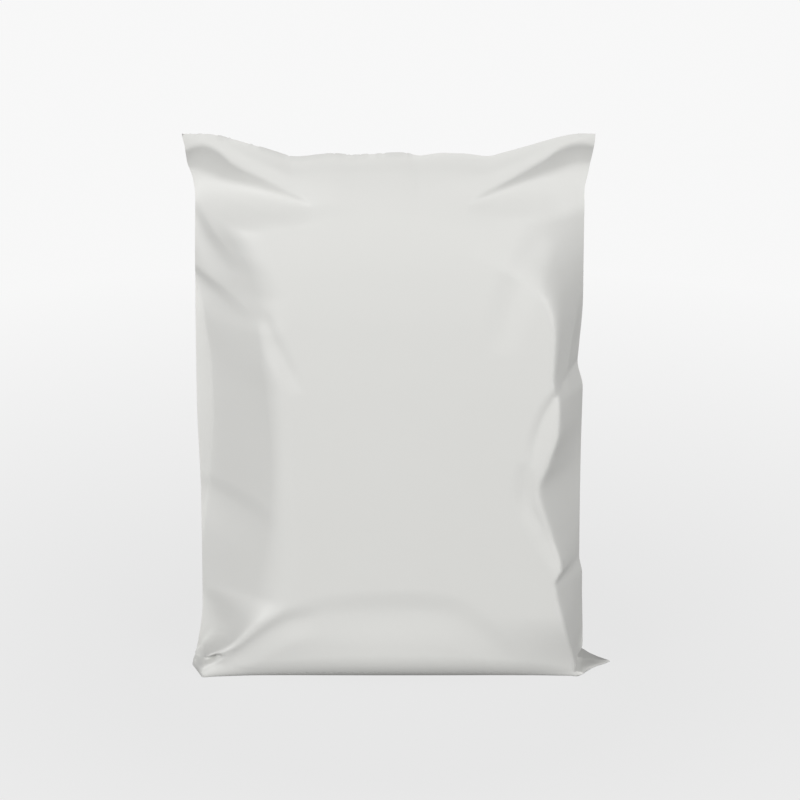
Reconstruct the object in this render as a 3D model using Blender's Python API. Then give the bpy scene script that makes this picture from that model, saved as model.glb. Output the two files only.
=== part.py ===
"""A filled and sealed poly mailer bag that stands on its folded base.

The bag is one tube of film: a front panel and a back panel that meet at the two side folds, at the
top fold and at the bottom seam. It is modelled as one closed solid, because it is sealed. The frame
has +X to the viewer's right, -Y to the front and +Z up, and its origin is in the middle of the base.
Sections are stacked from the floor to the top fold, and each section is a softened hexagon: a side
fold, a front ridge, the front face, the other front ridge, the other side fold, and the same behind.
Then the creases draw the film in. Levels run from 0 at the floor to 1 at the top fold's middle.
"""

import math

import bmesh
import bpy
import numpy as np

# The flat bag, in metres
bag_width = 0.250
bag_length = 0.350
flap_length = 0.045
flap_inset = 0.0035
flap_step = 0.0005
film_thickness = 0.0008

# The base that the bag stands on, and the ears of its folded corners
base_depth = 0.039
bottom_seam_shift = 0.0025
roll_height_at_corner = 0.004
roll_height_at_middle = 0.0200
base_tuck = 0.006
bulge_height = 0.045
ear_thickness = 0.0007
ear_root_height = 0.0032

# The top fold and its two ears
top_take_up = 0.0174
ear_rise = 0.0118
ear_slope_width = 0.0455
ear_flat_width = 0.0235
ear_blend = 0.26

# Ripples of the top fold: (x, height, width) in millimetres
top_ripples = (
    (-52.6, -1.6, 10), (-31.5, 0.4, 6), (-22, -0.6, 6), (3.6, 0.8, 10), (15.3, -0.9, 5), (29.2, 0.8, 7),
    (40, 0.4, 5), (53, -1.0, 7),
)

# Points across a side slope and a face, and the ring heights
side_steps = 11
face_steps = 27
body_rings = 33
top_rings = 13
top_zone = 0.160
low_ring_heights = (0.0008, 0.0022, 0.0042, 0.0065, 0.0095, 0.0140, 0.0190, 0.0250)

face_crown = 0.0012
body_height = bag_length - base_depth / 2 - top_take_up
half_width = bag_width / 2
half_base = base_depth / 2
flap_edge = body_height - flap_length

# How far each side fold lies inside half the flat width: (level, metres)
left_fold = (
    (0.010, 0.0072), (0.034, 0.0105), (0.127, 0.0143), (0.349, 0.0146), (0.528, 0.0136),
    (0.779, 0.0141), (0.890, 0.0146), (0.915, 0.0134), (0.945, 0.0104), (0.975, 0.0098),
    (1.0, 0.0083),
)
right_fold = (
    (0.0102, 0.0168), (0.020, 0.0150), (0.036, 0.0131), (0.150, 0.0140), (0.187, 0.0143),
    (0.223, 0.0162), (0.430, 0.0162), (0.558, 0.0160), (0.603, 0.0190), (0.640, 0.0182),
    (0.700, 0.0168), (0.723, 0.0166), (0.860, 0.0168), (0.900, 0.0168), (0.930, 0.0145),
    (0.955, 0.0130), (0.975, 0.0122), (1.0, 0.0115),
)

# How far each ridge lies inside its side fold: (level, metres)
front_left_ridge = (
    (0.010, 0.0080), (0.020, 0.0045), (0.030, 0.0050), (0.037, 0.0078), (0.047, 0.0130), (0.062, 0.0175),
    (0.0815, 0.0205), (0.112, 0.0310), (0.163, 0.0440), (0.300, 0.0460), (0.480, 0.0475),
    (0.570, 0.0450), (0.630, 0.0410), (0.685, 0.0410), (0.720, 0.0450), (0.750, 0.0450),
    (0.790, 0.0400), (0.830, 0.0320), (0.865, 0.0270), (0.885, 0.0370), (0.905, 0.0520),
    (0.920, 0.0590), (0.955, 0.0430), (1.0, 0.0120),
)
front_right_ridge = (
    (0.010, 0.0015), (0.020, 0.0030), (0.035, 0.0055), (0.130, 0.0120), (0.200, 0.0158),
    (0.232, 0.0112), (0.300, 0.0175), (0.390, 0.0245), (0.440, 0.0195), (0.510, 0.0140),
    (0.620, 0.0145), (0.700, 0.0155), (0.750, 0.0185), (0.790, 0.0270), (0.830, 0.0400),
    (0.870, 0.0500), (0.927, 0.0580), (0.960, 0.0420), (1.0, 0.0120),
)
back_ridge = (
    (0.010, 0.0050), (0.060, 0.0110), (0.150, 0.0230), (0.500, 0.0260), (0.800, 0.0320), (0.900, 0.0520),
    (0.955, 0.0400), (1.0, 0.0120),
)

# How far the faces stand from the plane of the side folds: (level, metres)
front_depth = (
    (0.0, 0.0306), (0.050, 0.0309), (0.150, 0.0312), (0.250, 0.0314),
    (0.400, 0.0316), (0.550, 0.0315), (0.700, 0.0300), (0.800, 0.0266), (0.880, 0.0206),
    (0.930, 0.0138), (0.970, 0.0064), (0.990, 0.0018), (1.0, 0.0003),
)
back_depth = (
    (0.0, 0.0268), (0.050, 0.0272), (0.150, 0.0280), (0.300, 0.0286), (0.500, 0.0290), (0.700, 0.0276),
    (0.800, 0.0244), (0.880, 0.0186), (0.930, 0.0124), (0.970, 0.0058), (0.990, 0.0016), (1.0, 0.0003),
)

# Where the side folds sway in front of or behind the middle plane: (level, metres)
left_fold_sway = (
    (0.018, -0.0010), (0.10, 0.0010), (0.30, 0.0025), (0.55, -0.0020), (0.75, -0.0015), (0.92, 0.0015),
    (1.0, 0.0),
)
right_fold_sway = (
    (0.018, 0.0), (0.12, 0.0025), (0.21, -0.0015), (0.38, 0.0030), (0.60, -0.0020), (0.75, 0.0020),
    (1.0, 0.0),
)

# A flat lip of pressed film along the left side fold, and the softness of the ridges: (level, metres)
left_lip = (
    (0.22, 0.0), (0.40, 0.0060), (0.52, 0.0090), (0.60, 0.0085), (0.68, 0.0055), (0.74, 0.0020),
    (0.78, 0.0),
)
left_softness = (
    (0.0, 0.0008), (0.05, 0.0020), (0.15, 0.0035), (0.42, 0.0040), (0.60, 0.0070), (0.80, 0.0110),
    (1.0, 0.0110),
)
right_softness = (
    (0.0, 0.0008), (0.05, 0.0020), (0.15, 0.0035), (0.42, 0.0035), (0.60, 0.0035), (0.70, 0.0050),
    (0.80, 0.0130), (1.0, 0.0110),
)

# How hollow the side slopes are above the bottom ears, 1 being flat: (level, power)
left_hollow = ((0.0, 1.0), (0.010, 1.2), (0.022, 2.4), (0.050, 2.8), (0.100, 1.6), (0.160, 1.0))
right_hollow = ((0.0, 1.0), (0.010, 1.3), (0.030, 1.7), (0.080, 1.0))

# Creases in the film, in millimetres. A station is (x, height, depth, width before, width after): the
# film is drawn in by depth on the way itself, and by less within the widths on its left and right side.
# A bend of 1 gives that side's far edge a crisp crest, -1 makes the way itself sharp, and 0 is soft.
# Ways run left to right, so that before is above and after is below, or upwards.
front_creases = (
    # Pleats from the ears of the top fold to the corners of the contents
    {"bends": (1, 0), "way": (
        (-117, 302, 5.8, 13, 22), (-107, 300.5, 6.8, 19, 22), (-92.6, 297, 5.0, 13.5, 22),
        (-78.6, 295.5, 3.4, 8.2, 18), (-64.6, 292.5, 2.2, 5, 12), (-52, 289, 1.0, 3, 8), (-44, 286, 0, 2, 6),
    )},
    {"bends": (1, 0), "way": (
        (42, 287, 0, 2, 6), (50, 290, 1.0, 3, 8), (61.8, 293.5, 2.2, 4.6, 12), (74.6, 297.5, 3.3, 7.2, 18),
        (90, 301.5, 4.8, 11.5, 22), (104, 305, 6.2, 15.5, 22), (116, 305, 5.6, 12, 20),
    )},
    # Soft valleys on the left shoulder
    {"bends": (0.5, 0), "way": (
        (-112, 280, 0.8, 5, 6), (-107, 271, 2.0, 6, 9), (-102, 263, 1.8, 7, 11), (-95, 254, 0.9, 8, 13),
        (-88, 246, 0, 7, 12),
    )},
    {"bends": (0, -0.3), "way": (
        (-52, 182, 0, 7, 6), (-57, 194, 1.2, 9, 7), (-63, 207, 1.5, 10, 7), (-68, 219, 0.8, 8, 6),
        (-72, 230, 0, 6, 5),
    )},
    {"bends": (0.6, 0), "way": (
        (-112, 243, 2.4, 5, 10), (-104, 236, 2.6, 7, 15), (-96, 230, 1.6, 8, 18), (-88, 224, 0.6, 8, 18),
        (-80, 217, 0, 8, 16),
    )},
    {"bends": (0.2, 0), "way": (
        (-111, 111, 0.9, 10, 20), (-97, 107, 1.5, 12, 26), (-84, 103, 1.2, 13, 28), (-66, 96, 0, 10, 20),
    )},
    # The bottom left corner: a dark slit over the ear, and a hollow along the diagonal ridge
    {"bends": (0, 0), "way": (
        (-119, 5, 4.0, 4, 3), (-112, 9, 4.5, 4.5, 3), (-104, 14.5, 3.0, 5.5, 3.5), (-96, 22, 0, 5, 3),
    )},
    {"bends": (-0.3, 0), "way": (
        (-97, 8, 0, 5, 6), (-88, 17, 1.8, 7, 11), (-74, 31, 2.2, 8, 13), (-58, 39, 1.4, 9, 13),
        (-40, 42, 0, 9, 12),
    )},
    # The soft fold across the front near the bottom
    {"bends": (0.3, 0), "way": (
        (-66, 34, 0.2, 9, 12), (-36, 39, 1.1, 10, 16), (5, 41, 1.4, 11, 18), (30, 40, 1.3, 11, 17),
        (50, 30, 0.9, 10, 14), (72, 8, 0, 7, 10),
    )},
    # The right side: its sharp crease, the light facet beyond it, a soft one below and the dark hollows
    {"bends": (-0.9, -0.2), "way": (
        (79, 136, 0, 4, 7), (81.2, 153.5, 1.8, 6, 9), (90, 176, 2.6, 7, 9), (100, 186.5, 2.6, 6, 6),
        (107, 190, 2.0, 5, 4),
    )},
    {"bends": (0, -0.3), "way": (
        (97, 72, 0, 6, 5), (88, 94, 2.0, 9, 7), (77, 117, 2.0, 9, 8), (74.5, 140, 0, 7, 7),
    )},
    {"bends": (1, 0), "way": (
        (107.5, 176, 0, 6, 5), (106.5, 187, 3.4, 7, 5), (106.5, 200, 3.6, 5.5, 5), (107.5, 214, 2.4, 4, 4),
        (109, 232, 0, 2, 4),
    )},
    {"bends": (0, 0), "way": (
        (62, 205, 0, 12, 12), (66, 228, 1.6, 14, 14), (73, 250, 2.0, 15, 14), (86, 272, 0, 12, 12),
    )},
)
back_creases = (
    # Pleats of the top corners
    {"bends": (1, 0), "way": ((-114, 300, 5.0, 12, 12), (-92, 292, 3.6, 10, 12), (-64, 284, 0, 5, 7))},
    {"bends": (1, 0), "way": ((60, 283, 0, 5, 7), (90, 294, 3.8, 10, 12), (113, 301, 5.0, 12, 12))},
    # A soft fold low down, one down each side and one under the flap
    {"bends": (0, 0), "way": (
        (-40, 60, 0, 9, 12), (-10, 72, 1.3, 11, 14), (30, 68, 1.2, 11, 14), (62, 52, 0, 8, 10),
    )},
    {"bends": (0.5, 0), "way": (
        (-92, 150, 0, 7, 8), (-86, 176, 1.6, 9, 12), (-88, 205, 1.6, 9, 12), (-96, 232, 0, 7, 8),
    )},
    {"bends": (0, -0.4), "way": (
        (84, 92, 0, 8, 7), (78, 118, 1.8, 10, 9), (80, 146, 1.6, 10, 8), (90, 170, 0, 7, 6),
    )},
    {"bends": (0.4, 0), "way": ((-30, 236, 0, 8, 12), (8, 243, 1.0, 10, 16), (48, 238, 0, 8, 12))},
)
crease_pieces = 24

# The bottom ears: the left one is turned forward, and the right one's front edge stands off the floor.
# A pull is (centre, reach, shift) in millimetres. It reaches half as far upwards as sideways.
ear_pulls = (
    ((-123, 0, 0), 26, (5.6, -7.0, 1.2)),
    ((-103, -19.5, 0), 23, (-7.0, -1.2, 0)),
    ((119, -10, 0), 11, (0.4, -0.5, 1.5)),
    ((128, 0, 0), 10, (0.6, 0, 0.4)),
)


def smooth(value):
    """0 below 0, 1 above 1, and a smooth rise between."""
    value = np.clip(value, 0, 1)
    return value * value * (3 - 2 * value)


def curve(stations, levels):
    """A smooth curve through the stations that never overshoots them."""
    at, values = np.array(stations, dtype=float).T
    steps = np.diff(values) / np.diff(at)
    slopes = np.zeros(len(at))
    same = np.flatnonzero(steps[:-1] * steps[1:] > 0)
    slopes[same + 1] = 2 * steps[same] * steps[same + 1] / (steps[same] + steps[same + 1])
    levels = np.clip(levels, at[0], at[-1])
    index = np.clip(np.searchsorted(at, levels, side="right") - 1, 0, len(at) - 2)
    span = at[index + 1] - at[index]
    share = (levels - at[index]) / span
    rise = values[index] + (values[index + 1] - values[index]) * smooth(share)
    bend = slopes[index] * (1 - share) - slopes[index + 1] * share
    return rise + share * (1 - share) * span * bend


def read(stations, height):
    """The value of a list of stations at a height."""
    return float(curve(stations, height / body_height))


def soft_min(first, second, softness):
    """The smaller of two values, with the corner between them rounded."""
    overlap = np.maximum(softness - np.abs(first - second), 0) / softness
    return np.minimum(first, second) - overlap * overlap * softness / 4


def dense_way(crease):
    """The crease's stations with smooth points between them, in metres."""
    stations = np.array(crease["way"]) / 1000
    reach = np.concatenate([[0], np.cumsum(np.hypot(*np.diff(stations[:, :2], axis=0).T))])
    at = np.linspace(0, reach[-1], crease_pieces + 1)
    return np.stack([curve(list(zip(reach, column)), at) for column in stations.T], axis=1)


def side_shape(distance, width, bend):
    """Share of a crease's depth at a distance to one side of its way."""
    away = np.clip(distance / width, 0, 1)
    soft = 1 - smooth(away)
    firm = 1 - away**1.3 if bend > 0 else (1 - away) ** 2
    return soft + abs(bend) * (firm - soft)


def crease_depth(x, z, crease):
    """How far one crease draws the film in at the points."""
    way = dense_way(crease)
    points, runs = way[:-1], np.diff(way, axis=0)
    shift_x, shift_z = x[:, None] - points[:, 0], z[:, None] - points[:, 1]
    share = (shift_x * runs[:, 0] + shift_z * runs[:, 1]) / (runs[:, 0] ** 2 + runs[:, 1] ** 2)
    share = np.clip(share, 0, 1)
    gap = np.hypot(shift_x - share * runs[:, 0], shift_z - share * runs[:, 1])
    row, nearest = np.arange(len(x)), np.argmin(gap, axis=1)
    share, gap = share[row, nearest], gap[row, nearest]
    depth, before, after = (points[nearest] + runs[nearest] * share[:, None])[:, 2:].T
    side = shift_x[row, nearest] * runs[nearest, 1] - shift_z[row, nearest] * runs[nearest, 0]
    before_shape = side_shape(gap, before, crease["bends"][0])
    return depth * np.where(side < 0, before_shape, side_shape(gap, after, crease["bends"][1]))


def top_edge_lift(x):
    """How far the top fold stands above its own middle: it climbs to the two ears and ripples."""
    ear_start = half_width - ear_flat_width - ear_slope_width
    share = np.clip((np.abs(x) - ear_start) / ear_slope_width, 0, 1)
    lift = ear_rise * (0.4 * smooth(share) + 0.6 * share)
    for at, height, width in top_ripples:
        lift = lift + height / 1000 * np.exp(-(((x * 1000 - at) / width) ** 2))
    return lift


def lifted(x, height):
    """The z of points x of one section: the sections near the top follow the top fold."""
    return height + top_edge_lift(x) * smooth((height / body_height - 1 + ear_blend) / ear_blend)


def side_folds(height):
    """Where the side folds lie, and how free of the flat ears they are at a height."""
    free = min(max((height - ear_thickness) / (ear_root_height - ear_thickness), 0.0), 1.0)
    left = (bottom_seam_shift - half_width) * (1 - free) + (read(left_fold, height) - half_width) * free
    right = (bottom_seam_shift + half_width) * (1 - free) + (half_width - read(right_fold, height)) * free
    return left, right, free


def ridges(height, is_front):
    """Where the ridges between the side slopes and the face lie at a height."""
    left, right, free = side_folds(height)
    corner = half_width - half_base
    left_inset = read(front_left_ridge if is_front else back_ridge, height)
    right_inset = read(front_right_ridge if is_front else back_ridge, height)
    left_ridge = (bottom_seam_shift - corner) * (1 - free) + (left + left_inset) * free
    right_ridge = (bottom_seam_shift + corner) * (1 - free) + (right - right_inset) * free
    return left_ridge, right_ridge


def panel_reach(x, height, is_front):
    """How far the film stands from the plane of the side folds, that plane's sway, and x as a share."""
    left, right, free = side_folds(height)
    left_ridge, right_ridge = ridges(height, is_front)
    across = np.clip((x - left) / (right - left), 0, 1)
    corner = half_width - half_base
    base_share = np.clip((x - bottom_seam_shift + corner) / (2 * corner), 0, 1)
    middle = np.sin(math.pi * base_share) ** 0.6
    roll_height = roll_height_at_corner + (roll_height_at_middle - roll_height_at_corner) * middle
    below = np.clip(1 - height / roll_height, 0, 1)
    bulge = middle + (1 - middle) * smooth(height / bulge_height)
    depth = read(front_depth if is_front else back_depth, height)
    tucked = half_base - base_tuck * middle
    depth = tucked + (depth - tucked) * bulge * np.sqrt(1 - below**2)
    softness = read(left_softness, height)
    softness = softness + (read(right_softness, height) - softness) * smooth(3 * across - 1)
    softness = np.minimum(softness, depth)
    lip = read(left_lip, height) * (1 if is_front else 0.6)
    left_share = np.maximum(0, (x - left - lip) / (left_ridge - left - lip))
    right_share = np.maximum(0, (right - x) / (right - right_ridge))
    left_power = read(left_hollow, height) if is_front else 1
    right_power = read(right_hollow, height) if is_front else 1
    left_rise = np.minimum(left_share, 1) ** left_power + np.maximum(left_share - 1, 0)
    right_rise = np.minimum(right_share, 1) ** right_power + np.maximum(right_share - 1, 0)
    reach = soft_min(soft_min(depth * left_rise, depth * right_rise, softness), depth, softness)
    reach = reach + face_crown * np.sin(math.pi * across) * np.minimum(1.0, depth / 0.02)
    sway = read(left_fold_sway, height) * (1 - smooth(left_share))
    sway = sway + read(right_fold_sway, height) * (1 - smooth(right_share))
    return reach, sway * free, across


def drawn_in(x, height, is_front):
    """How far all creases of a panel draw the film in. They end at the top fold and above the base."""
    z = lifted(x, height)
    drawn = sum(crease_depth(x, z, crease) for crease in (front_creases if is_front else back_creases))
    return drawn * smooth((height - 0.002) / 0.005) * smooth((1 - height / body_height) / 0.03)


def film_y(x, height, is_front):
    """The y of points x of one section. The back lies behind the front, also where creases meet."""
    reach, sway, across = panel_reach(x, height, True)
    front = sway - reach + drawn_in(x, height, True)
    if is_front:
        return front
    reach, sway, across = panel_reach(x, height, False)
    back = sway + np.maximum(reach - drawn_in(x, height, False), -0.002)
    from_side = np.minimum(across, 1 - across) * bag_width
    if height >= flap_edge:
        back = back + flap_step * smooth((from_side - flap_inset) / 0.001)
    gap = film_thickness * smooth(from_side / 0.0025)
    return np.maximum(back, front + gap)


def panel_points(height, is_front):
    """Points of one panel at a height, from the left side fold to the right one."""
    left, right, free = side_folds(height)
    left_ridge, right_ridge = ridges(height, is_front)
    stops = [left + (left_ridge - left) * step / side_steps for step in range(side_steps)]
    stops += [left_ridge + (right_ridge - left_ridge) * step / face_steps for step in range(face_steps)]
    stops += [right_ridge + (right - right_ridge) * step / side_steps for step in range(side_steps + 1)]
    x = np.array(stops)
    y = film_y(x, height, is_front)
    y[[0, -1]] = film_y(x[[0, -1]], height, True)
    return pulled(np.stack([x, y, lifted(x, height)], axis=1))


def pulled(points):
    """The points with the bottom ears pulled into place."""
    moved = points.copy()
    for centre, reach, shift in ear_pulls:
        away = np.linalg.norm((points * 1000 - np.array(centre)) * (1, 1, 2), axis=1) / reach
        moved += smooth(1 - away)[:, None] * np.array(shift) / 1000
    return moved


def ring_heights():
    """Heights of the rings: the ear and its root, the low body, the body, the top and the flap's edge."""
    heights = [0.0] + list(low_ring_heights)
    start, top_start = heights[-1], body_height * (1 - top_zone)
    heights += [start + (top_start - start) * (ring + 1) / body_rings for ring in range(body_rings)]
    heights += [top_start + body_height * top_zone * (ring + 1) / top_rings for ring in range(top_rings)]
    heights += [flap_edge - flap_step, flap_edge]
    return sorted(heights)


def section_ring(height):
    """One closed ring of points: the front panel left to right, then the back panel right to left."""
    return list(panel_points(height, True)) + list(panel_points(height, False)[-2:0:-1])


def grow_ring(mesh, ring, points):
    """Extrudes a ring of vertices and moves the new ones to the next section."""
    edges = [mesh.edges.get((ring[i], ring[(i + 1) % len(ring)])) for i in range(len(ring))]
    made = bmesh.ops.extrude_edge_only(mesh, edges=edges)["geom"]
    new_verts = {v for v in made if isinstance(v, bmesh.types.BMVert)}
    grown = []
    for old, point in zip(ring, points):
        new = next(e.other_vert(old) for e in old.link_edges if e.other_vert(old) in new_verts)
        new.co = point
        grown.append(new)
    return grown


def close_strip(mesh, ring, first, last):
    """Closes a ring with a row of faces between the front and the back panel."""
    count = len(ring)
    for i in range(first, last):
        corners = (ring[i], ring[i + 1], ring[-i - 1], ring[-i % count])
        mesh.faces.new(dict.fromkeys(corners))


def close_base(mesh, ring):
    """Closes the base: one flat face to stand on, and a strip across each ear."""
    last = len(ring) // 2
    close_strip(mesh, ring, 0, side_steps)
    close_strip(mesh, ring, last - side_steps, last)
    front, back = ring[side_steps:last - side_steps + 1], ring[last + side_steps:len(ring) - side_steps + 1]
    mesh.faces.new(front + back)


def film_material():
    """Matt light grey polyethylene film."""
    material = bpy.data.materials.new("mailer_film")
    material.use_nodes = True
    shader = material.node_tree.nodes["Principled BSDF"]
    shader.inputs["Base Color"].default_value = (0.71, 0.71, 0.69, 1)
    shader.inputs["Roughness"].default_value = 0.45
    shader.inputs["Metallic"].default_value = 0.0
    return material


def mailer_bag():
    """The whole bag, as one closed solid."""
    mesh = bmesh.new()
    heights = ring_heights()
    first_ring = [mesh.verts.new(point) for point in section_ring(heights[0])]
    for i in range(len(first_ring)):
        mesh.edges.new((first_ring[i - 1], first_ring[i]))
    ring = first_ring
    for height in heights[1:]:
        ring = grow_ring(mesh, ring, section_ring(height))
    close_base(mesh, first_ring)
    close_strip(mesh, ring, 0, len(ring) // 2)
    bmesh.ops.recalc_face_normals(mesh, faces=mesh.faces)
    data = bpy.data.meshes.new("mailer_bag")
    mesh.to_mesh(data)
    mesh.free()
    data.materials.append(film_material())
    data.shade_smooth()
    data.set_sharp_from_angle(angle=math.radians(50))
    bag = bpy.data.objects.new("mailer_bag", data)
    bpy.context.scene.collection.objects.link(bag)
    return bag


for old_object in list(bpy.data.objects):
    bpy.data.objects.remove(old_object)
mailer_bag()
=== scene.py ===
import math

import bmesh
import bpy
import numpy as np
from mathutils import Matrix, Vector


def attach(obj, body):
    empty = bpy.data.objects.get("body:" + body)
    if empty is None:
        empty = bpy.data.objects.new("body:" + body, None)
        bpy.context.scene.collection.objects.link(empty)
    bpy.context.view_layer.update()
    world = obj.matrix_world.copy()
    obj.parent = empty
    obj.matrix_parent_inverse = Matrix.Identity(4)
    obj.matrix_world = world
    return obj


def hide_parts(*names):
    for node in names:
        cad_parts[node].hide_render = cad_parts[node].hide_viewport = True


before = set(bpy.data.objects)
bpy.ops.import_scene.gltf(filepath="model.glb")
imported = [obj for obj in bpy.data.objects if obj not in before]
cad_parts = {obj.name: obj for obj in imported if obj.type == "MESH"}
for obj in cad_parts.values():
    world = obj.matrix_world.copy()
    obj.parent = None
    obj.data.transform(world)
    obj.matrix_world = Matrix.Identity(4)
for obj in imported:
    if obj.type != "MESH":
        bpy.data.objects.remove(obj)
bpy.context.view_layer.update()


# Shader maths: a Socket wraps a node's output, so that an expression adds its Math nodes
class Socket:
    def __init__(self, look, output):
        self.look, self.output = look, output

    def math(self, operation, *others):
        return self.look.node("ShaderNodeMath", {"operation": operation}, [self, *others])

    def __add__(self, other):
        return self.math("ADD", other)

    def __sub__(self, other):
        return self.math("SUBTRACT", other)

    def __rsub__(self, other):
        return self.look.node("ShaderNodeMath", {"operation": "SUBTRACT"}, [other, self])

    def __mul__(self, other):
        return self.math("MULTIPLY", other)

    def __truediv__(self, other):
        return self.math("DIVIDE", other)

    __radd__ = __add__
    __rmul__ = __mul__


class Look:
    def __init__(self, name):
        self.material = bpy.data.materials.new(name)
        self.material.use_nodes = True
        self.tree = self.material.node_tree
        self.tree.nodes.clear()

    def node(self, kind, settings=None, inputs=(), output=0):
        node = self.tree.nodes.new(kind)
        for name, value in (settings or {}).items():
            setattr(node, name, value)
        pairs = inputs.items() if isinstance(inputs, dict) else enumerate(inputs)
        for key, value in pairs:
            if isinstance(value, Socket):
                self.tree.links.new(value.output, node.inputs[key])
            else:
                node.inputs[key].default_value = value
        return Socket(self, node.outputs[output]) if len(node.outputs) else None

    def noise(self, place, scale, detail, roughness=0.5):
        values = {"Vector": place, "Scale": scale, "Detail": detail, "Roughness": roughness}
        return self.node("ShaderNodeTexNoise", {}, values, "Fac")

    def mixColour(self, factor, first, second):
        # An RGBA Mix node has its factor in socket 0, its colours in 6 and 7 and its result in 2
        values = {0: factor, 6: first, 7: second}
        return self.node("ShaderNodeMix", {"data_type": "RGBA"}, values, 2)

    def surface(self, shader):
        self.node("ShaderNodeOutputMaterial", {}, {"Surface": shader})
        return self.material


# The camera stands as the photograph's did: in front, a little right of the middle, looking down
cameraPlace = {
    "distance": 2.0,
    "pitch": 21.5,
    "rightward": 0.0047,
    "scaleAtBase": 1700.0,
    "baseRow": 662.0,
    "imageSize": 800.0,
    "sensor": 36.0,
}


def addCamera():
    pitch = math.radians(cameraPlace["pitch"])
    middle = cameraPlace["imageSize"] / 2
    below = (cameraPlace["baseRow"] - middle) / cameraPlace["scaleAtBase"]
    height = (below + cameraPlace["distance"] * math.sin(pitch)) / math.cos(pitch)
    depth = cameraPlace["distance"] * math.cos(pitch) + height * math.sin(pitch)
    focal = cameraPlace["scaleAtBase"] * depth
    data = bpy.data.cameras.new("camera")
    data.sensor_width = cameraPlace["sensor"]
    data.lens = focal * cameraPlace["sensor"] / cameraPlace["imageSize"]
    camera = bpy.data.objects.new("camera", data)
    camera.location = (cameraPlace["rightward"], -cameraPlace["distance"], height)
    camera.rotation_euler = (math.pi / 2 - pitch, 0, 0)
    bpy.context.scene.collection.objects.link(camera)
    bpy.context.scene.camera = camera


# Two large soft lamps in front, left and right, and an even pale room
studio = {
    "aimHeight": 0.16,
    "leftLamp": {"azimuth": -45, "elevation": 16, "distance": 3.2, "size": 1.6, "power": 63},
    "rightLamp": {"azimuth": 42, "elevation": 16, "distance": 3.2, "size": 1.6, "power": 56},
    "roomStrength": 0.27,
    "floorSize": 60.0,
    "floorColour": (0.25, 0.25, 0.25, 1),
    "floorGlow": 0.82,
    "floorGlowLevel": 0.935,
    "floorGlowStart": 0.15,
    "floorGlowWidth": 0.55,
}


def addLamp(name, lamp):
    azimuth, elevation = math.radians(lamp["azimuth"]), math.radians(lamp["elevation"])
    aim = Vector((0, 0, studio["aimHeight"]))
    flat = math.cos(elevation)
    toLamp = Vector((math.sin(azimuth) * flat, -math.cos(azimuth) * flat, math.sin(elevation)))
    data = bpy.data.lights.new(name, "AREA")
    data.size = lamp["size"]
    data.energy = lamp["power"]
    light = bpy.data.objects.new(name, data)
    light.location = aim + toLamp * lamp["distance"]
    light.rotation_euler = toLamp.to_track_quat("Z", "Y").to_euler()
    bpy.context.scene.collection.objects.link(light)


def floorLook():
    # To the camera the floor glows evenly, and more so away from the bag, so that it melts into the wall.
    # Near the bag the glow is weaker, so the floor round the bag is painted darker as painted shade, on top
    # of the real shadows that the matt share keeps.
    look = Look("floor_look")
    matt = look.node("ShaderNodeBsdfDiffuse", {}, {"Color": studio["floorColour"]})
    level = studio["floorGlowLevel"]
    glow = look.node("ShaderNodeEmission", {}, {"Color": (level, level, level, 1), "Strength": 1.0})
    seen = look.node("ShaderNodeLightPath", {}, {}, "Is Camera Ray")
    place = look.node("ShaderNodeTexCoord", {}, {}, "Object")
    away = look.node("ShaderNodeVectorMath", {"operation": "LENGTH"}, [place], "Value")
    ramp = (away - studio["floorGlowStart"]) / studio["floorGlowWidth"]
    far = ramp.math("MINIMUM", 1.0).math("MAXIMUM", 0.0)
    # Painted shade: a smaller glow share near the bag darkens the floor round it
    share = studio["floorGlow"] + far * (1 - studio["floorGlow"])
    mixed = look.node("ShaderNodeMixShader", {}, [seen * share, matt, glow])
    return look.surface(mixed)


def addStudio():
    addLamp("left_lamp", studio["leftLamp"])
    addLamp("right_lamp", studio["rightLamp"])
    world = bpy.data.worlds.new("room")
    world.use_nodes = True
    background = world.node_tree.nodes["Background"]
    background.inputs["Color"].default_value = (1, 1, 1, 1)
    background.inputs["Strength"].default_value = studio["roomStrength"]
    bpy.context.scene.world = world
    bm = bmesh.new()
    bmesh.ops.create_grid(bm, x_segments=1, y_segments=1, size=studio["floorSize"] / 2)
    data = bpy.data.meshes.new("floor")
    bm.to_mesh(data)
    bm.free()
    data.materials.append(floorLook())
    floor = bpy.data.objects.new("floor", data)
    bpy.context.scene.collection.objects.link(floor)


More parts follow.
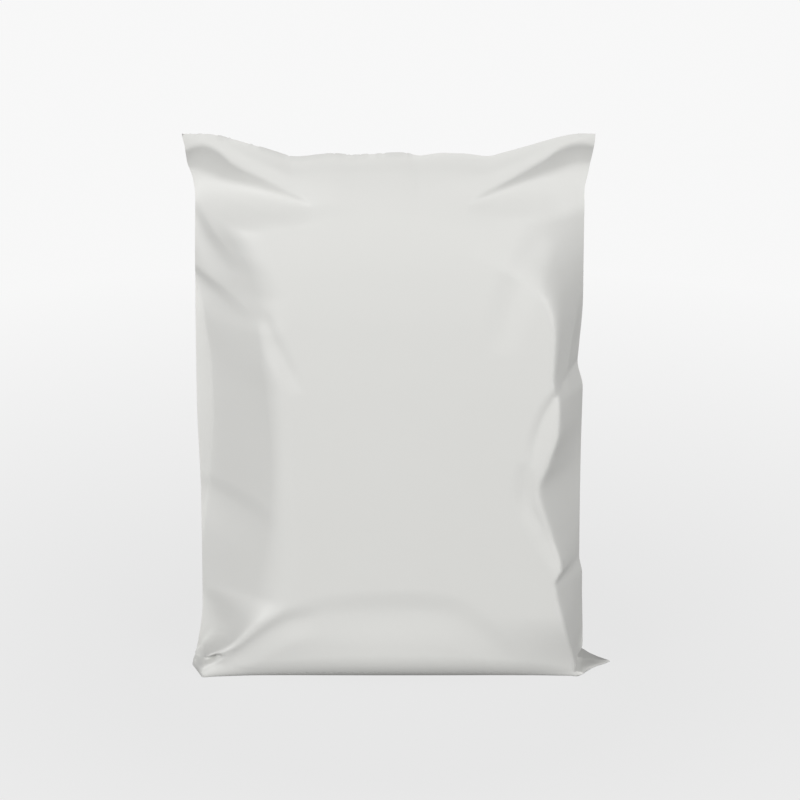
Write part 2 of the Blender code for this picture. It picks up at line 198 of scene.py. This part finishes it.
# The bag, in metres, with its columns, rows and samples as counts. A list of pairs holds the stations of
# a smooth curve: (height share, metres), where the share runs from 0 at the floor to 1 at the top fold's
# middle. A hollow has a power in place of the metres.
bagForm = {
    "width": 0.250,
    "bodyHeight": 0.3131,
    "baseDepth": 0.039,
    "seamShift": 0.0025,
    "seamGroove": 0.0003,
    "rollHeight": (0.004, 0.0200),
    "tuck": 0.006,
    "bulgeHeight": 0.045,
    "earThickness": 0.0007,
    "earRootHeight": (0.0055, 0.0032),
    "columns": 190,
    "earColumns": 20,
    "baseRows": 8,
    "rowLength": 0.00152,
    "lowRows": (
        0.0004, 0.0008, 0.0013, 0.0019, 0.0026, 0.0034, 0.0042, 0.0050, 0.0058, 0.0066, 0.0074, 0.0082,
        0.0090, 0.0098, 0.0106, 0.0114, 0.0122, 0.0130, 0.0138, 0.0146, 0.0155, 0.0165, 0.0176, 0.0188,
    ),
    "samples": 700,
    "leftFold": (
        (0.010, 0.0072), (0.034, 0.0105), (0.127, 0.0143), (0.349, 0.0146), (0.528, 0.0136),
        (0.779, 0.0141), (0.890, 0.0146), (0.915, 0.0134), (0.945, 0.0104), (0.975, 0.0098),
        (1.0, 0.0083),
    ),
    "rightFold": (
        (0.0102, 0.0168), (0.020, 0.0150), (0.036, 0.0131), (0.150, 0.0140), (0.187, 0.0143),
        (0.223, 0.0162), (0.430, 0.0162), (0.558, 0.0160), (0.603, 0.0190), (0.640, 0.0182),
        (0.700, 0.0168), (0.723, 0.0166), (0.860, 0.0168), (0.900, 0.0168), (0.930, 0.0145),
        (0.955, 0.0130), (0.975, 0.0122), (1.0, 0.0115),
    ),
    "frontLeftRidge": (
        (0.010, 0.0095), (0.020, 0.0075), (0.030, 0.0055), (0.040, 0.0060), (0.055, 0.0112),
        (0.074, 0.0190), (0.098, 0.0250), (0.125, 0.0315), (0.173, 0.0430), (0.300, 0.0460),
        (0.480, 0.0475), (0.570, 0.0460), (0.630, 0.0435), (0.685, 0.0430), (0.720, 0.0450),
        (0.750, 0.0450), (0.790, 0.0410), (0.830, 0.0340), (0.865, 0.0290), (0.885, 0.0380),
        (0.905, 0.0520), (0.920, 0.0590), (0.955, 0.0430), (1.0, 0.0120),
    ),
    "frontRightRidge": (
        (0.010, 0.0015), (0.020, 0.0030), (0.035, 0.0055), (0.130, 0.0120), (0.200, 0.0158),
        (0.232, 0.0112), (0.300, 0.0175), (0.390, 0.0245), (0.440, 0.0195), (0.510, 0.0140),
        (0.620, 0.0145), (0.700, 0.0155), (0.750, 0.0185), (0.790, 0.0270), (0.830, 0.0400),
        (0.870, 0.0500), (0.927, 0.0580), (0.960, 0.0420), (1.0, 0.0120),
    ),
    "backRidge": (
        (0.010, 0.0050), (0.060, 0.0110), (0.150, 0.0230), (0.500, 0.0260), (0.800, 0.0320),
        (0.900, 0.0520), (0.955, 0.0400), (1.0, 0.0120),
    ),
    "frontDepth": (
        (0.0, 0.0306), (0.050, 0.0309), (0.150, 0.0312), (0.250, 0.0314), (0.400, 0.0316),
        (0.550, 0.0315), (0.700, 0.0300), (0.800, 0.0266), (0.880, 0.0206), (0.930, 0.0138),
        (0.970, 0.0064), (0.990, 0.0018), (1.0, 0.0003),
    ),
    "backDepth": (
        (0.0, 0.0268), (0.050, 0.0272), (0.150, 0.0280), (0.300, 0.0286), (0.500, 0.0290),
        (0.700, 0.0276), (0.800, 0.0244), (0.880, 0.0186), (0.930, 0.0124), (0.970, 0.0058),
        (0.990, 0.0016), (1.0, 0.0003),
    ),
    "leftFoldSway": (
        (0.018, -0.0010), (0.10, 0.0010), (0.30, 0.0025), (0.55, -0.0020), (0.75, -0.0015), (0.92, 0.0015),
        (1.0, 0.0),
    ),
    "rightFoldSway": (
        (0.018, 0.0), (0.12, 0.0025), (0.21, -0.0015), (0.38, 0.0030), (0.60, -0.0020), (0.75, 0.0020),
        (1.0, 0.0),
    ),
    "leftLip": (
        (0.22, 0.0), (0.40, 0.0060), (0.52, 0.0090), (0.60, 0.0085), (0.68, 0.0055), (0.74, 0.0020),
        (0.78, 0.0),
    ),
    "leftSoftness": (
        (0.0, 0.0015), (0.012, 0.0050), (0.030, 0.0065), (0.07, 0.0070), (0.15, 0.0080), (0.42, 0.0045),
        (0.60, 0.0055), (0.80, 0.0060), (0.90, 0.0110), (1.0, 0.0110),
    ),
    "rightSoftness": (
        (0.0, 0.0008), (0.05, 0.0020), (0.15, 0.0035), (0.42, 0.0035), (0.60, 0.0035), (0.70, 0.0050),
        (0.80, 0.0130), (1.0, 0.0110),
    ),
    "leftHollow": (
        (0.0, 1.0), (0.020, 1.0), (0.030, 2.4), (0.038, 4.5), (0.055, 4.5), (0.080, 2.8), (0.120, 1.5),
        (0.160, 1.0),
    ),
    "rightHollow": ((0.0, 1.0), (0.010, 1.3), (0.030, 1.7), (0.080, 1.0)),
    "faceCrown": 0.0012,
    "crownFade": 0.02,
    "cornerRound": 0.6,
    "leastGap": 0.0003,
    "gapFade": 0.01,
    "backDip": 0.002,
    "flapLength": 0.045,
    "flapInset": 0.0035,
    "flapStep": 0.0005,
    "flapEdgeWidth": 0.001,
    "backLip": 0.6,
}

# The top fold: it climbs to a blunt ear at each end, and ripples a little between them.
# A ripple is (x, height, width) in millimetres.
topFold = {
    "earRise": 0.0118,
    "climbWidth": 0.0455,
    "climbSoftness": 0.4,
    "earWidth": 0.0235,
    "blend": 0.26,
    "ripples": (
        (-52.6, -1.6, 10), (-31.5, 0.4, 6), (-22, -0.6, 6), (3.6, 0.8, 10), (15.3, -0.9, 5), (29.2, 0.8, 7),
        (40, 0.4, 5), (53, -1.0, 7),
    ),
}


def curve(stations, levels):
    # A smooth curve through the stations that never overshoots them
    at = np.array([station[0] for station in stations])
    values = np.array([station[1] for station in stations])
    steps = np.diff(values) / np.diff(at)
    slopes = np.zeros(len(at))
    same = steps[:-1] * steps[1:] > 0
    inner = np.zeros(len(steps) - 1)
    inner[same] = 2 * steps[:-1][same] * steps[1:][same] / (steps[:-1] + steps[1:])[same]
    slopes[1:-1] = inner
    levels = np.clip(levels, at[0], at[-1])
    index = np.clip(np.searchsorted(at, levels, side="right") - 1, 0, len(at) - 2)
    span = at[index + 1] - at[index]
    share = (levels - at[index]) / span
    rise = values[index] + (values[index + 1] - values[index]) * smooth(share)
    bend = slopes[index] * (1 - share) - slopes[index + 1] * share
    return rise + share * (1 - share) * span * bend


def smooth(value):
    value = np.clip(value, 0, 1)
    return value * value * (3 - 2 * value)


def softMin(first, second, softness):
    overlap = np.maximum(softness - np.abs(first - second), 0) / softness
    return np.minimum(first, second) - overlap * overlap * softness / 4


def topLift(x):
    start = bagForm["width"] / 2 - topFold["earWidth"] - topFold["climbWidth"]
    share = np.clip((np.abs(x) - start) / topFold["climbWidth"], 0, 1)
    softness = topFold["climbSoftness"]
    climb = softness * smooth(share) + (1 - softness) * share
    ripple = sum(
        height / 1000 * np.exp(-(((x * 1000 - at) / width) ** 2))
        for at, height, width in topFold["ripples"]
    )
    return topFold["earRise"] * climb + ripple


# Creases in the film, in millimetres. A station is (x, height, depth, width before, width after): the
# film is drawn in by depth on the way itself and by less within the widths on its left and right side.
# A bend of 1 gives that side's far edge a crisp crest, -1 makes the way itself sharp, and 0 is soft.
# Ways run left to right, so that before is above and after is below, or upwards.
frontCreases = (
    # Pleats from the ears of the top fold to the corners of the contents
    {"bends": (1, 0), "way": (
        (-117, 302, 7.6, 13, 31), (-107, 300.5, 9.0, 19, 33), (-92.6, 297, 7.0, 13.5, 31),
        (-78.6, 295.5, 4.9, 8.2, 25), (-64.6, 292.5, 3.1, 5, 17), (-52, 289, 1.5, 3, 10),
        (-44, 286, 0, 2, 7),
    )},
    {"bends": (1, 0), "way": (
        (42, 287, 0, 2, 7), (50, 290, 1.4, 3, 9), (61.8, 293.5, 3.0, 4.6, 15), (74.6, 297.5, 4.6, 7.2, 22),
        (90, 301.5, 6.6, 11.5, 27), (104, 305, 8.2, 15.5, 28), (116, 305, 7.2, 12, 26),
    )},
    # Soft valleys on the left shoulder
    {"bends": (0.5, 0), "way": (
        (-112, 280, 0.8, 5, 6), (-107, 271, 2.0, 6, 9), (-102, 263, 1.8, 7, 11), (-95, 254, 0.9, 8, 13),
        (-88, 246, 0, 7, 12),
    )},
    {"bends": (0, -0.3), "way": (
        (-52, 182, 0, 7, 6), (-57, 194, 1.2, 9, 7), (-63, 207, 1.5, 10, 7), (-68, 219, 0.8, 8, 6),
        (-72, 230, 0, 6, 5),
    )},
    {"bends": (0.6, 0), "way": (
        (-112, 243, 2.4, 5, 10), (-104, 236, 2.6, 7, 15), (-96, 230, 1.6, 8, 18), (-88, 224, 0.6, 8, 18),
        (-80, 217, 0, 8, 16),
    )},
    {"bends": (0.2, 0), "way": (
        (-111, 111, 0.9, 10, 20), (-97, 107, 1.5, 12, 26), (-84, 103, 1.2, 13, 28), (-66, 96, 0, 10, 20),
    )},
    # The bottom left corner: a dark slit over the ear, and a hollow along the diagonal ridge
    {"bends": (0, 0), "way": (
        (-117.5, 4.3, 0, 3, 2.2), (-113.5, 5.8, 7, 3.2, 2.4), (-107, 9.9, 7.5, 3.4, 2.6),
        (-99, 16, 0, 3, 3),
    )},
    {"bends": (0, 0), "way": (
        (-97, 10, 0, 6, 7), (-88, 18, 1.4, 8, 12), (-73, 31, 2.0, 10, 14), (-57, 40, 1.4, 10, 14),
        (-40, 43, 0, 9, 12),
    )},
    # The soft fold across the front near the bottom
    {"bends": (0.3, 0), "way": (
        (-66, 38, 0.2, 10, 13), (-36, 45, 1.1, 13, 20), (5, 47, 1.4, 14, 22), (30, 45, 1.3, 14, 21),
        (50, 34, 0.9, 12, 17), (72, 10, 0, 8, 11),
    )},
    # The right side: its sharp crease, the light facet beyond it, a soft one below and the dark hollows
    {"bends": (-0.9, -0.2), "way": (
        (79, 136, 0, 4, 8), (81.2, 153.5, 1.3, 6, 12), (90, 176, 1.8, 6, 13), (100, 186.5, 2.2, 5.5, 8),
        (107, 190, 2.0, 5, 4),
    )},
    {"bends": (0, -0.3), "way": (
        (97, 72, 0, 6, 5), (88, 94, 2.0, 9, 7), (77, 117, 2.0, 9, 8), (74.5, 140, 0, 7, 7),
    )},
    {"bends": (1, 0), "way": (
        (107.5, 176, 0, 6, 5), (106.5, 187, 3.4, 7, 5), (106.5, 200, 3.6, 5.5, 5), (107.5, 214, 2.4, 4, 4),
        (109, 232, 0, 2, 4),
    )},
    {"bends": (0, 0), "way": (
        (62, 205, 0, 12, 12), (66, 228, 1.6, 14, 14), (73, 250, 2.0, 15, 14), (86, 272, 0, 12, 12),
    )},
)
backCreases = (
    # Pleats of the top corners
    {"bends": (1, 0), "way": ((-114, 300, 5.0, 12, 12), (-92, 292, 3.6, 10, 12), (-64, 284, 0, 5, 7))},
    {"bends": (1, 0), "way": ((60, 283, 0, 5, 7), (90, 294, 3.8, 10, 12), (113, 301, 5.0, 12, 12))},
    # A soft fold low down, one down each side and one under the flap
    {"bends": (0, 0), "way": (
        (-40, 60, 0, 9, 12), (-10, 72, 1.3, 11, 14), (30, 68, 1.2, 11, 14), (62, 52, 0, 8, 10),
    )},
    {"bends": (0.5, 0), "way": (
        (-92, 150, 0, 7, 8), (-86, 176, 1.6, 9, 12), (-88, 205, 1.6, 9, 12), (-96, 232, 0, 7, 8),
    )},
    {"bends": (0, -0.4), "way": (
        (84, 92, 0, 8, 7), (78, 118, 1.8, 10, 9), (80, 146, 1.6, 10, 8), (90, 170, 0, 7, 6),
    )},
    {"bends": (0.4, 0), "way": ((-30, 236, 0, 8, 12), (8, 243, 1.0, 10, 16), (48, 238, 0, 8, 12))},
)


# How firm a bent side of a crease is, and where creases fade out: raised ones by the side folds (share of
# the width), and all of them above the floor (metres) and at the top fold (share of the height)
creaseForm = {
    "crestPower": 1.3,
    "sharpPower": 2,
    "sideFade": 0.02,
    "floorStart": 0.001,
    "floorFade": 0.003,
    "topFade": 0.03,
    "wayPoints": 48,
}


def denseWay(crease):
    # The crease's stations with smooth points between them, in metres
    stations = np.array(crease["way"]) / 1000
    reach = np.concatenate([[0], np.cumsum(np.hypot(*np.diff(stations[:, :2], axis=0).T))])
    at = np.linspace(0, reach[-1], creaseForm["wayPoints"])
    return np.stack([curve(list(zip(reach, column)), at) for column in stations.T], axis=1)


def sideShape(distance, width, bend):
    # How much of a crease's depth is left at a distance from its way: all on the way, none past the width
    away = np.clip(distance / width, 0, 1)
    soft = 1 - smooth(away)
    crest, sharp = 1 - away ** creaseForm["crestPower"], (1 - away) ** creaseForm["sharpPower"]
    firm = crest if bend > 0 else sharp
    return soft + abs(bend) * (firm - soft)


def creaseDepth(x, z, way, bends):
    # How far one crease draws the film in at the points x, z, from the nearest point of its way
    points, runs = way[:-1], np.diff(way, axis=0)
    shiftX, shiftZ = x[:, None] - points[:, 0], z[:, None] - points[:, 1]
    share = (shiftX * runs[:, 0] + shiftZ * runs[:, 1]) / (runs[:, 0] ** 2 + runs[:, 1] ** 2)
    share = np.clip(share, 0, 1)
    gap = np.hypot(shiftX - share * runs[:, 0], shiftZ - share * runs[:, 1])
    nearest = np.argmin(gap, axis=1)
    row = np.arange(len(x))
    share, gap = share[row, nearest], gap[row, nearest]
    depth, before, after = (points[nearest] + runs[nearest] * share[:, None])[:, 2:].T
    side = shiftX[row, nearest] * runs[nearest, 1] - shiftZ[row, nearest] * runs[nearest, 0]
    shape = np.where(side < 0, sideShape(gap, before, bends[0]), sideShape(gap, after, bends[1]))
    return depth * shape


creaseWays = {
    isFront: [(denseWay(crease), crease["bends"]) for crease in creases]
    for isFront, creases in ((True, frontCreases), (False, backCreases))
}


def rowStops():
    # Film lengths up a panel, from the bottom seam: the base, the low rows round the ears, the body
    half = bagForm["baseDepth"] / 2
    stops = [half * row / bagForm["baseRows"] for row in range(bagForm["baseRows"] + 1)]
    stops += [half + height for height in bagForm["lowRows"]]
    left = bagForm["bodyHeight"] - bagForm["lowRows"][-1]
    rows = round(left / bagForm["rowLength"])
    return stops + [half + bagForm["lowRows"][-1] + left * (row + 1) / rows for row in range(rows)]


def station(name, height):
    return float(curve(bagForm[name], np.array([height / bagForm["bodyHeight"]]))[0])


def sideFolds(height):
    # Where the left and right side folds lie at a height, and how free of the flat ears each is
    half, shift, thickness = bagForm["width"] / 2, bagForm["seamShift"], bagForm["earThickness"]
    leftFree, rightFree = (
        np.clip((height - thickness) / (root - thickness), 0, 1) for root in bagForm["earRootHeight"]
    )
    left = (shift - half) * (1 - leftFree) + (station("leftFold", height) - half) * leftFree
    right = (shift + half) * (1 - rightFree) + (half - station("rightFold", height)) * rightFree
    return left, right, leftFree, rightFree


def ridges(height, isFront):
    # Where the ridges between the side slopes and the face lie at a height
    left, right, leftFree, rightFree = sideFolds(height)
    corner, shift = (bagForm["width"] - bagForm["baseDepth"]) / 2, bagForm["seamShift"]
    leftName, rightName = ("frontLeftRidge", "frontRightRidge") if isFront else ("backRidge", "backRidge")
    leftRidge = (shift - corner) * (1 - leftFree) + (left + station(leftName, height)) * leftFree
    rightRidge = (shift + corner) * (1 - rightFree) + (right - station(rightName, height)) * rightFree
    return leftRidge, rightRidge


def hollowed(share, power):
    # A side slope's rise from 0 at the fold to 1 at the ridge, hollow where the power is above 1
    return np.minimum(share, 1) ** power + np.maximum(share - 1, 0)


def panelReach(x, height, isFront):
    # How far the film stands out from the side folds' plane, and that plane's own sway
    left, right, leftFree, rightFree = sideFolds(height)
    leftRidge, rightRidge = ridges(height, isFront)
    across = np.clip((x - left) / (right - left), 0, 1)
    depth = station("frontDepth" if isFront else "backDepth", height)
    low, high = bagForm["rollHeight"]
    baseHalf = bagForm["baseDepth"] / 2
    corner = bagForm["width"] / 2 - baseHalf
    alongBase = np.clip((x - bagForm["seamShift"] + corner) / (2 * corner), 0, 1)
    middle = np.sin(math.pi * alongBase) ** bagForm["cornerRound"]
    below = np.clip(1 - height / (low + (high - low) * middle), 0, 1)
    bulge = middle + (1 - middle) * smooth(height / bagForm["bulgeHeight"])
    tucked = baseHalf - bagForm["tuck"] * middle
    depth = tucked + (depth - tucked) * bulge * np.sqrt(1 - below**2)
    leftSoftness, rightSoftness = station("leftSoftness", height), station("rightSoftness", height)
    middleThird = smooth(3 * across - 1)
    softness = leftSoftness + (rightSoftness - leftSoftness) * middleThird
    softness = np.minimum(softness, depth)
    lip = station("leftLip", height) * (1 if isFront else bagForm["backLip"])
    leftShare = np.maximum(0, (x - left - lip) / (leftRidge - left - lip))
    rightShare = np.maximum(0, (right - x) / (right - rightRidge))
    leftRise, rightRise = leftShare, rightShare
    if isFront:
        leftRise = hollowed(leftShare, station("leftHollow", height))
        rightRise = hollowed(rightShare, station("rightHollow", height))
    reach = softMin(softMin(depth * leftRise, depth * rightRise, softness), depth, softness)
    crown = bagForm["faceCrown"] * np.minimum(1.0, depth / bagForm["crownFade"])
    reach += crown * np.sin(math.pi * across)
    sway = leftFree * station("leftFoldSway", height) * (1 - smooth(leftShare))
    sway = sway + rightFree * station("rightFoldSway", height) * (1 - smooth(rightShare))
    return reach, sway, across


def heightAt(x, height):
    # The film below the top fold is lifted with it, less and less further down
    level, blend = height / bagForm["bodyHeight"], topFold["blend"]
    return height + topLift(x) * smooth((level - 1 + blend) / blend)


def creased(x, z, height, isFront, across):
    # How far all creases of a panel draw the film in. They end just above the floor and at the top fold.
    drawn = sum(creaseDepth(x, z, way, bends) for way, bends in creaseWays[isFront])
    edge = smooth(np.minimum(across, 1 - across) / creaseForm["sideFade"])
    drawn = np.where(drawn < 0, drawn * edge, drawn)
    level = height / bagForm["bodyHeight"]
    low = smooth((height - creaseForm["floorStart"]) / creaseForm["floorFade"])
    return drawn * low * smooth((1.0 - level) / creaseForm["topFade"])


def filmDepth(x, height, isFront):
    # The film's y at points x of a height. The back lies behind the front, also where creases meet.
    z = heightAt(x, height)
    reach, sway, across = panelReach(x, height, True)
    front = sway - reach + creased(x, z, height, True, across)
    if isFront:
        return front
    reach, sway, across = panelReach(x, height, False)
    back = sway + np.maximum(reach - creased(x, z, height, False, across), -bagForm["backDip"])
    flapEdge = bagForm["bodyHeight"] - bagForm["flapLength"]
    fromSide = np.minimum(across, 1 - across) * bagForm["width"] - bagForm["flapInset"]
    back += bagForm["flapStep"] * (height > flapEdge) * smooth(fromSide / bagForm["flapEdgeWidth"])
    gap = bagForm["leastGap"] * smooth(np.minimum(across, 1 - across) / bagForm["gapFade"])
    return np.maximum(back, front + gap)


def panelRow(height, isFront):
    # Points across one panel at a height, evenly spaced along the film. Near the floor the same columns
    # stay on the corners of the base.
    left, right = sideFolds(height)[:2]
    x = np.linspace(left, right, bagForm["samples"])
    y = filmDepth(x, height, isFront)
    ends = filmDepth(x[[0, -1]], height, True)
    y[0], y[-1] = ends
    z = heightAt(x, height)
    length = np.concatenate([[0], np.cumsum(np.hypot(np.diff(x), np.diff(y)))])
    columns, earColumns = bagForm["columns"], bagForm["earColumns"]
    column = np.arange(columns + 1)
    even = length[-1] * column / columns
    corners = np.interp(ridges(height, isFront), x, length)
    stops = [0, corners[0], corners[1], length[-1]]
    held = np.interp(column, [0, earColumns, columns - earColumns, columns], stops)
    loose = smooth((height - bagForm["rollHeight"][0]) / bagForm["bulgeHeight"])
    at = held + (even - held) * loose
    return np.stack([np.interp(at, length, values) for values in (x, y, z)], axis=1)


# The bottom ears: the left one is turned forward, and the right one's front edge stands off the floor.
# A pull is (start, end, reach, shift at the start, shift at the end) in millimetres. It acts on the film
# near the line from start to end, and reaches half as far upwards as sideways.
earPulls = (
    ((-122.5, 0, 0), (-103, -19.5, 0), 21, (5.4, -4.4, 0.5), (-7.4, -1.4, 0)),
    ((119, -10, 0), (118, -11, 0), 11, (0.4, -0.5, 1.5), (0.4, -0.5, 1.5)),
    ((128, 0, 0), (127, 0, 0), 10, (0.6, 0, 0.4), (0.6, 0, 0.4)),
)


def pullEars(points):
    moved = points.copy()
    for start, end, reach, startShift, endShift in earPulls:
        run = np.array(end) - np.array(start)
        fromStart = (points * 1000 - np.array(start)) * (1, 1, 2)
        share = np.clip(fromStart @ run / (run @ run), 0, 1)[..., None]
        away = np.linalg.norm(fromStart - share * run, axis=-1) / reach
        shift = np.array(startShift) * (1 - share) + np.array(endShift) * share
        moved += smooth(1 - away)[..., None] * shift / 1000
    return moved


def bagPlaces():
    # Where every crossing of rows and columns lies, for the front panel and the back one
    half = bagForm["baseDepth"] / 2
    places = []
    for isFront in (True, False):
        rows = []
        for stop in rowStops():
            row = panelRow(max(0.0, stop - half), isFront)
            if stop < half:
                row = row * np.array([1, stop / half, 0])
            if stop == 0:
                row = row + np.array([0, 0, bagForm["seamGroove"]])
            rows.append(row)
        places.append(pullEars(np.array(rows)))
    return places


def weldedBag():
    # Two grids of film, welded round their edges as the flat bag is, then folded into place
    rows, columns = len(rowStops()) - 1, bagForm["columns"]
    bm = bmesh.new()
    bmesh.ops.create_grid(bm, x_segments=columns, y_segments=rows, size=1)
    panel = bm.verts.layers.int.new("panel")
    made = bmesh.ops.duplicate(bm, geom=bm.verts[:] + bm.edges[:] + bm.faces[:])["geom"]
    for vert in (item for item in made if isinstance(item, bmesh.types.BMVert)):
        vert[panel] = 1
    backFaces = [item for item in made if isinstance(item, bmesh.types.BMFace)]
    bmesh.ops.reverse_faces(bm, faces=backFaces)
    edge = [vert for vert in bm.verts if max(abs(vert.co.x), abs(vert.co.y)) > 1 - 1e-5]
    bmesh.ops.remove_doubles(bm, verts=edge, dist=1e-5)
    places = bagPlaces()
    for vert in bm.verts:
        column = round((vert.co.x + 1) / 2 * columns)
        row = round((vert.co.y + 1) / 2 * rows)
        vert.co = Vector(places[vert[panel]][row][column])
    bmesh.ops.recalc_face_normals(bm, faces=bm.faces)
    backFaces = set(backFaces)
    for line in bm.edges:
        line.smooth = len({face in backFaces for face in line.link_faces}) == 1
    data = bpy.data.meshes.new("poly_bag")
    bm.to_mesh(data)
    bm.free()
    data.shade_smooth()
    bag = bpy.data.objects.new("poly_bag", data)
    bpy.context.scene.collection.objects.link(bag)
    return bag


# Matt polyethylene: even pale grey, a faint grain, a soft sheen
filmFinish = {
    "colour": (0.715, 0.715, 0.695, 1),
    "shadeColour": (0.690, 0.690, 0.668, 1),
    "roughness": 0.46,
    "specular": 0.3,
    "cloudScale": 9.0,
    "cloudDetail": 3.0,
    "cloudRoughness": 0.08,
    "grainScale": 900.0,
    "grainDetail": 2.0,
    "grainStrength": 0.35,
    "grainHeight": 0.00002,
}


def filmLook():
    look = Look("mailer_film")
    place = look.node("ShaderNodeTexCoord", {}, {}, "Object")
    cloud = look.noise(place, filmFinish["cloudScale"], filmFinish["cloudDetail"])
    colour = look.mixColour(cloud, filmFinish["colour"], filmFinish["shadeColour"])
    grain = look.noise(place, filmFinish["grainScale"], filmFinish["grainDetail"])
    bump = {
        "Strength": filmFinish["grainStrength"],
        "Distance": filmFinish["grainHeight"],
        "Height": grain,
    }
    bumped = look.node("ShaderNodeBump", {}, bump)
    spread = filmFinish["cloudRoughness"]
    values = {
        "Base Color": colour,
        "Roughness": cloud * spread + (filmFinish["roughness"] - spread / 2),
        "Specular IOR Level": filmFinish["specular"],
        "Normal": bumped,
    }
    return look.surface(look.node("ShaderNodeBsdfPrincipled", {}, values))


def addBag():
    bag = weldedBag()
    bag.data.materials.append(filmLook())
    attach(bag, "root")
    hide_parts("mailer_bag")
    print("bag:", len(bag.data.polygons), "faces")


bpy.context.scene.view_settings.view_transform = "Standard"
addCamera()
addStudio()
print("camera and studio ready")
addBag()
